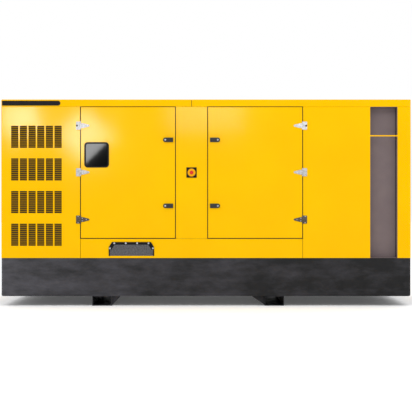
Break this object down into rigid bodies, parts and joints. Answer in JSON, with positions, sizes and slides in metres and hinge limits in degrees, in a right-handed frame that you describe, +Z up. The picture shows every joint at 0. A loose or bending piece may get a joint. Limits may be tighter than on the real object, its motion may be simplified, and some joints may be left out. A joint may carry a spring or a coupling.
{
  "type": "sound-proofed diesel generator set",
  "caption": "Long enclosed diesel generator on a black base with fork pockets, yellow canopy with hinged doors, air louvres, emergency stop and cable outlet.",
  "frame": {"origin": "on the floor under the middle of the set", "axes": "+X along the set towards the radiator end, +Y across it towards the rear side, +Z up; the front side with the emergency stop faces -Y"},
  "size_m": [4.8, 1.652, 2.42],
  "materials": {
    "yellow_paint": "semi-gloss yellow powder coat",
    "black_frame_paint": "matt black structured paint",
    "frame_paint": "satin black paint",
    "black_trim": "satin black moulding",
    "baffle_grey": "matt grey sound-deadening coat",
    "seal_rubber": "matt black rubber",
    "flap_rubber": "dull grey rubber sheet",
    "cap_plastic": "matt black",
    "stainless_steel": "polished",
    "lock_plastic": "satin black",
    "window_glass": "tinted",
    "estop_black": "satin black",
    "estop_red": "glossy red",
    "outlet_black": "satin black",
    "engine_paint": "grey enamel on cast iron",
    "generator_paint": "blue-grey enamel on cast iron",
    "shaft_steel": "turned steel",
    "fan_plastic": "orange moulded nylon",
    "radiator_black": "black-coated aluminium",
    "exhaust_steel": "heat-dulled aluminised steel",
    "turbo_iron": "bare cast iron, heat-browned",
    "filter_black": "matt black",
    "battery_case": "black polypropylene",
    "cabinet_paint": "light grey powder coat",
    "breaker_black": "satin black"
  },
  "bodies": {
    "set": {"air_baffles": "baffle_grey", "air_filter": "filter_black", "base_frame": "black_frame_paint", "batteries": "battery_case", "cable_outlet_frame": "outlet_black", "canopy_frame": "frame_paint", "control_cabinet": "cabinet_paint", "cylinder_head": "engine_paint", "door_seals": "seal_rubber", "end_panels": "yellow_paint", "engine_block": "engine_paint", "engine_rails": "frame_paint", "estop_box": "estop_black", "fan_shroud": "radiator_black", "flywheel_housing": "engine_paint", "fork_pocket_left": "black_frame_paint", "fork_pocket_right": "black_frame_paint", "frame_hinge_leaves": "stainless_steel", "front_side_panels": "yellow_paint", "fuel_tank": "black_frame_paint", "generator_stator": "generator_paint", "left_roof_panel": "yellow_paint", "lifting_eyes": "frame_paint", "louvre_panels": "yellow_paint", "oil_sump": "engine_paint", "radiator": "radiator_black", "rear_side_panels": "yellow_paint", "right_roof_panel": "yellow_paint", "roof_trim_strips": "black_trim", "silencer": "exhaust_steel", "turbocharger": "turbo_iron"},
    "fuel_cap": {"fuel_cap": "cap_plastic"},
    "cable_flap": {"cable_flap": "flap_rubber"},
    "estop_button": {"estop_button": "estop_red"},
    "rain_cap": {"rain_cap": "exhaust_steel"},
    "crankshaft": {"crankshaft": "shaft_steel"},
    "radiator_fan": {"radiator_fan": "fan_plastic"},
    "breaker_handle": {"breaker_handle": "breaker_black"},
    "front_left_door": {"front_left_door": "yellow_paint", "front_left_hinge_straps": "stainless_steel", "front_left_lock_plates": "lock_plastic", "window_seal": "seal_rubber", "window_glass": "window_glass"},
    "front_left_lower_lever": {"front_left_lower_lever": "lock_plastic"},
    "front_left_upper_lever": {"front_left_upper_lever": "lock_plastic"},
    "front_right_door": {"front_right_door": "yellow_paint", "front_right_hinge_straps": "stainless_steel", "front_right_lock_plates": "lock_plastic"},
    "front_right_lower_lever": {"front_right_lower_lever": "lock_plastic"},
    "front_right_upper_lever": {"front_right_upper_lever": "lock_plastic"},
    "rear_left_door": {"rear_left_door": "yellow_paint", "rear_left_hinge_straps": "stainless_steel", "rear_left_lock_plates": "lock_plastic"},
    "rear_left_lower_lever": {"rear_left_lower_lever": "lock_plastic"},
    "rear_left_upper_lever": {"rear_left_upper_lever": "lock_plastic"},
    "rear_right_door": {"rear_right_door": "yellow_paint", "rear_right_hinge_straps": "stainless_steel", "rear_right_lock_plates": "lock_plastic"},
    "rear_right_lower_lever": {"rear_right_lower_lever": "lock_plastic"},
    "rear_right_upper_lever": {"rear_right_upper_lever": "lock_plastic"}
  },
  "joints": [
    {"name": "front_left_door_hinge", "type": "hinge", "parent": "set", "child": "front_left_door", "pos_m": [-1.469, -0.807, 1.566], "axis": [0, 0, -1], "range_deg": [0, 120]},
    {"name": "front_left_lower_lever_turn", "type": "hinge", "parent": "front_left_door", "child": "front_left_lower_lever", "pos_m": [-0.4765, -0.8, 1.173], "axis": [0, 1, 0], "range_deg": [0, 90]},
    {"name": "front_left_upper_lever_turn", "type": "hinge", "parent": "front_left_door", "child": "front_left_upper_lever", "pos_m": [-0.4765, -0.8, 1.946], "axis": [0, 1, 0], "range_deg": [0, 90]},
    {"name": "front_right_door_hinge", "type": "hinge", "parent": "set", "child": "front_right_door", "pos_m": [1.131, -0.807, 1.566], "axis": [0, 0, 1], "range_deg": [0, 120]},
    {"name": "front_right_lower_lever_turn", "type": "hinge", "parent": "front_right_door", "child": "front_right_lower_lever", "pos_m": [0.1385, -0.8, 1.173], "axis": [0, -1, 0], "range_deg": [0, 90]},
    {"name": "front_right_upper_lever_turn", "type": "hinge", "parent": "front_right_door", "child": "front_right_upper_lever", "pos_m": [0.1385, -0.8, 1.946], "axis": [0, -1, 0], "range_deg": [0, 90]},
    {"name": "rear_left_door_hinge", "type": "hinge", "parent": "set", "child": "rear_left_door", "pos_m": [-1.469, 0.807, 1.566], "axis": [0, 0, 1], "range_deg": [0, 120]},
    {"name": "rear_left_lower_lever_turn", "type": "hinge", "parent": "rear_left_door", "child": "rear_left_lower_lever", "pos_m": [-0.4765, 0.8, 1.173], "axis": [0, 1, 0], "range_deg": [0, 90]},
    {"name": "rear_left_upper_lever_turn", "type": "hinge", "parent": "rear_left_door", "child": "rear_left_upper_lever", "pos_m": [-0.4765, 0.8, 1.946], "axis": [0, 1, 0], "range_deg": [0, 90]},
    {"name": "rear_right_door_hinge", "type": "hinge", "parent": "set", "child": "rear_right_door", "pos_m": [1.131, 0.807, 1.566], "axis": [0, 0, -1], "range_deg": [0, 120]},
    {"name": "rear_right_lower_lever_turn", "type": "hinge", "parent": "rear_right_door", "child": "rear_right_lower_lever", "pos_m": [0.1385, 0.8, 1.173], "axis": [0, -1, 0], "range_deg": [0, 90]},
    {"name": "rear_right_upper_lever_turn", "type": "hinge", "parent": "rear_right_door", "child": "rear_right_upper_lever", "pos_m": [0.1385, 0.8, 1.946], "axis": [0, -1, 0], "range_deg": [0, 90]},
    {"name": "fuel_cap_turn", "type": "hinge", "parent": "set", "child": "fuel_cap", "pos_m": [-0.52, -0.64, 0.63], "axis": [0, 0, 1], "range_deg": [0, 90]},
    {"name": "cable_flap_hinge", "type": "hinge", "parent": "set", "child": "cable_flap", "pos_m": [-0.8735, -0.8028, 0.718], "axis": [-1, 0, 0], "range_deg": [0, 70]},
    {"name": "estop_button_press", "type": "slide", "parent": "set", "child": "estop_button", "axis": [0, 1, 0], "range_m": [0, 0.004], "stiffness_N_per_m": 900},
    {"name": "rain_cap_hinge", "type": "hinge", "parent": "set", "child": "rain_cap", "pos_m": [2.159, 0, 2.3923], "axis": [0, 1, 0], "range_deg": [0, 75]},
    {"name": "crankshaft_spin", "type": "hinge", "parent": "set", "child": "crankshaft", "pos_m": [0.95, 0, 1], "axis": [1, 0, 0], "continuous": true},
    {"name": "radiator_fan_spin", "type": "hinge", "parent": "set", "child": "radiator_fan", "pos_m": [0.95, 0, 1.26], "axis": [1, 0, 0], "continuous": true},
    {"name": "breaker_handle_throw", "type": "hinge", "parent": "set", "child": "breaker_handle", "pos_m": [-1.19, -0.7023, 1.38], "axis": [-1, 0, 0], "range_deg": [0, 50]}
  ],
  "couplings": [
    {"joint": "radiator_fan_spin", "follows": "crankshaft_spin", "ratio": 1.25}
  ]
}
